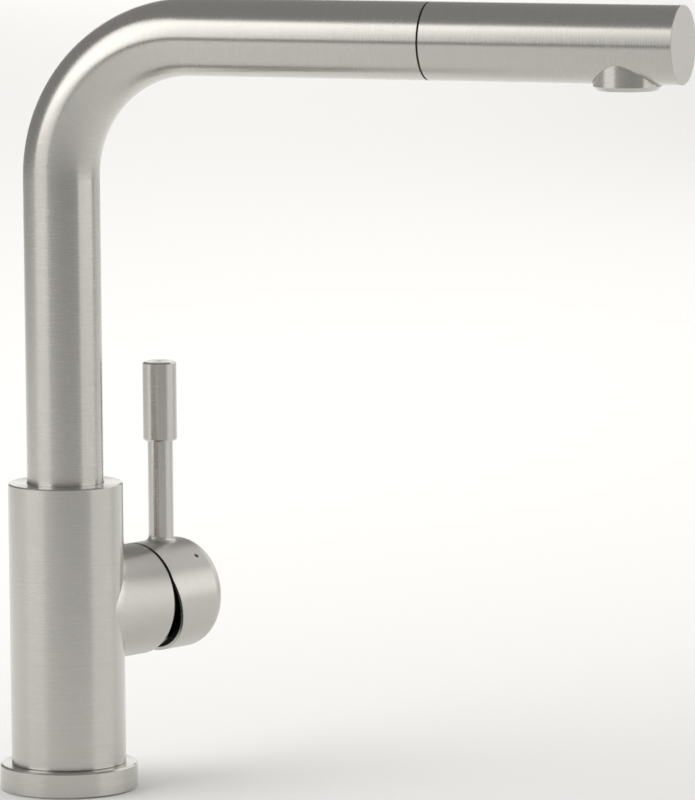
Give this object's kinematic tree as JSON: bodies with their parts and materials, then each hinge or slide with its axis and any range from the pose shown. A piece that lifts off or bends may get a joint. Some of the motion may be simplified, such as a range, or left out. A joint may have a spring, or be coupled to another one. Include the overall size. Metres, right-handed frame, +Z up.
{
  "type": "kitchen faucet",
  "caption": "Kitchen mixer: round column with a side valve and pin lever, L-shaped swivel spout and a pull-out spray head on a hose.",
  "frame": {"origin": "centre of the deck plane, under the middle of the base ring", "axes": "+Z up the column; -Y the way the spout reaches at rest; the lever is on the +X side"},
  "size_m": [0.0981, 0.283, 0.375],
  "materials": {
    "brushed_steel": "fine brushed, satin",
    "plain_steel": "plain turned",
    "brass": "machined",
    "rubber": "matt",
    "pale_plastic": "moulded",
    "dark_plastic": "moulded",
    "ceramic": "lapped",
    "hose_braid": "woven nylon sleeve"
  },
  "bodies": {
    "column": {"base_ring": "brushed_steel", "deck_gasket": "rubber", "body_shell": "brushed_steel", "base_hub": "brass", "mounting_shank": "brass", "clamp_gasket": "rubber", "clamp_washer": "plain_steel", "back_nut": "brass", "valve_body": "brass", "cold_tail": "plain_steel", "hot_tail": "plain_steel", "outlet_tail": "plain_steel", "port_seals": "rubber", "cartridge_base": "pale_plastic", "fixed_disc": "ceramic", "cartridge_casing": "pale_plastic", "cartridge_nut": "brass", "dust_ring": "dark_plastic", "upper_bush": "pale_plastic", "lower_bush": "pale_plastic", "bush_clip": "plain_steel", "swivel_stop_screw": "plain_steel", "hose_riser": "hose_braid"},
    "rotor": {"cartridge_rotor": "dark_plastic", "tilt_pin": "plain_steel"},
    "disc": {"moving_disc": "ceramic", "disc_carrier": "pale_plastic"},
    "lever": {"lever_spindle": "brass", "lever_cap": "brushed_steel", "lever_rod": "brushed_steel", "lever_grip": "brushed_steel", "lever_lock_screw": "plain_steel", "index_plug": "dark_plastic"},
    "spout": {"spout_tube": "brushed_steel", "swivel_sleeve": "brass", "hose_guide": "pale_plastic", "docking_sleeve": "dark_plastic", "hose_bend": "hose_braid"},
    "head": {"head_shell": "brushed_steel", "docking_spigot": "dark_plastic", "hose_pull": "hose_braid", "hose_ferrule": "plain_steel", "hose_nut": "brass", "hose_washer": "rubber", "check_valve": "pale_plastic", "head_core": "pale_plastic", "outlet_ring": "brushed_steel", "aerator": "dark_plastic", "aerator_seal": "rubber"}
  },
  "joints": [
    {"name": "spout_swivel", "type": "hinge", "parent": "column", "child": "spout", "pos_m": [0, 0, 0.107], "axis": [0, 0, 1], "range_deg": [-81.6, 38.4]},
    {"name": "head_pull", "type": "slide", "parent": "spout", "child": "head", "axis": [0, -1, 0], "range_m": [0, 0.15], "deforming": ["hose_pull"]},
    {"name": "temperature_turn", "type": "hinge", "parent": "column", "child": "rotor", "pos_m": [0, 0, 0.0705], "axis": [0.9298, -0.3681, 0], "range_deg": [-45, 45]},
    {"name": "lever_tilt", "type": "hinge", "parent": "rotor", "child": "lever", "pos_m": [0.02882, -0.01141, 0.0705], "axis": [0.3681, 0.9298, 0], "range_deg": [0, 20]},
    {"name": "disc_slide", "type": "slide", "parent": "rotor", "child": "disc", "axis": [0, 0, 1], "range_m": [0, 0.0024]}
  ],
  "couplings": [
    {"joint": "disc_slide", "follows": "lever_tilt", "m_per_rad": 0.0062}
  ]
}
